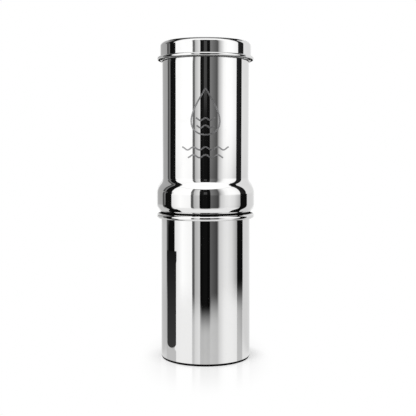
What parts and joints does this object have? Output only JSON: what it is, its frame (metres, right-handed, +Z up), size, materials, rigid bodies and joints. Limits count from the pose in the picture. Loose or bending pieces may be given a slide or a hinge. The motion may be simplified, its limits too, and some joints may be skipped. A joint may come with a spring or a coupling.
{
  "type": "gravity water filter",
  "caption": "Tall polished steel gravity water filter: an upper chamber stands in a lower one under a slip-on lid, with a ceramic filter candle held by a wing nut.",
  "frame": {"origin": "middle of the base, on the surface that the filter stands on", "axes": "+Z up along the common axis of the chambers, the lid and the candle; front towards -Y, +X to the right as seen from the front"},
  "size_m": [0.1114, 0.1114, 0.36],
  "materials": {
    "polished_steel": "polished",
    "filter_ceramic": "matte",
    "white_plastic": "satin",
    "adhesive": "satin",
    "carbon": "matte",
    "cap_plastic": "satin",
    "felt": "matte",
    "steel_gauze": "satin",
    "silicone": "matte",
    "nylon": "satin"
  },
  "bodies": {
    "lower_chamber": {"lower_chamber": "polished_steel"},
    "upper_chamber": {"upper_chamber": "polished_steel"},
    "lid": {"lid": "polished_steel"},
    "candle": {"candle_shell": "filter_ceramic", "candle_mount": "white_plastic", "candle_bond": "adhesive", "carbon_block": "carbon", "carbon_end_cap": "cap_plastic", "carbon_base_pad": "felt", "outlet_screen": "steel_gauze", "seal_washer": "silicone"},
    "nut_washer": {"nut_washer": "nylon"},
    "wing_nut": {"wing_nut": "white_plastic"}
  },
  "joints": [
    {"name": "upper_lift", "type": "slide", "parent": "lower_chamber", "child": "upper_chamber", "axis": [0, 0, 1], "range_m": [0, 0.06]},
    {"name": "lid_lift", "type": "slide", "parent": "upper_chamber", "child": "lid", "axis": [0, 0, 1], "range_m": [0, 0.06]},
    {"name": "candle_lift", "type": "slide", "parent": "upper_chamber", "child": "candle", "axis": [0, 0, 1], "range_m": [0, 0.024]},
    {"name": "nut_drop", "type": "slide", "parent": "upper_chamber", "child": "nut_washer", "axis": [0, 0, -1], "range_m": [0, 0.015]},
    {"name": "nut_turn", "type": "hinge", "parent": "nut_washer", "child": "wing_nut", "pos_m": [0, 0, 0.142], "axis": [0, 0, -1], "range_deg": [0, 3600]}
  ],
  "couplings": [
    {"joint": "nut_drop", "follows": "nut_turn", "m_per_rad": 0.00023873}
  ]
}
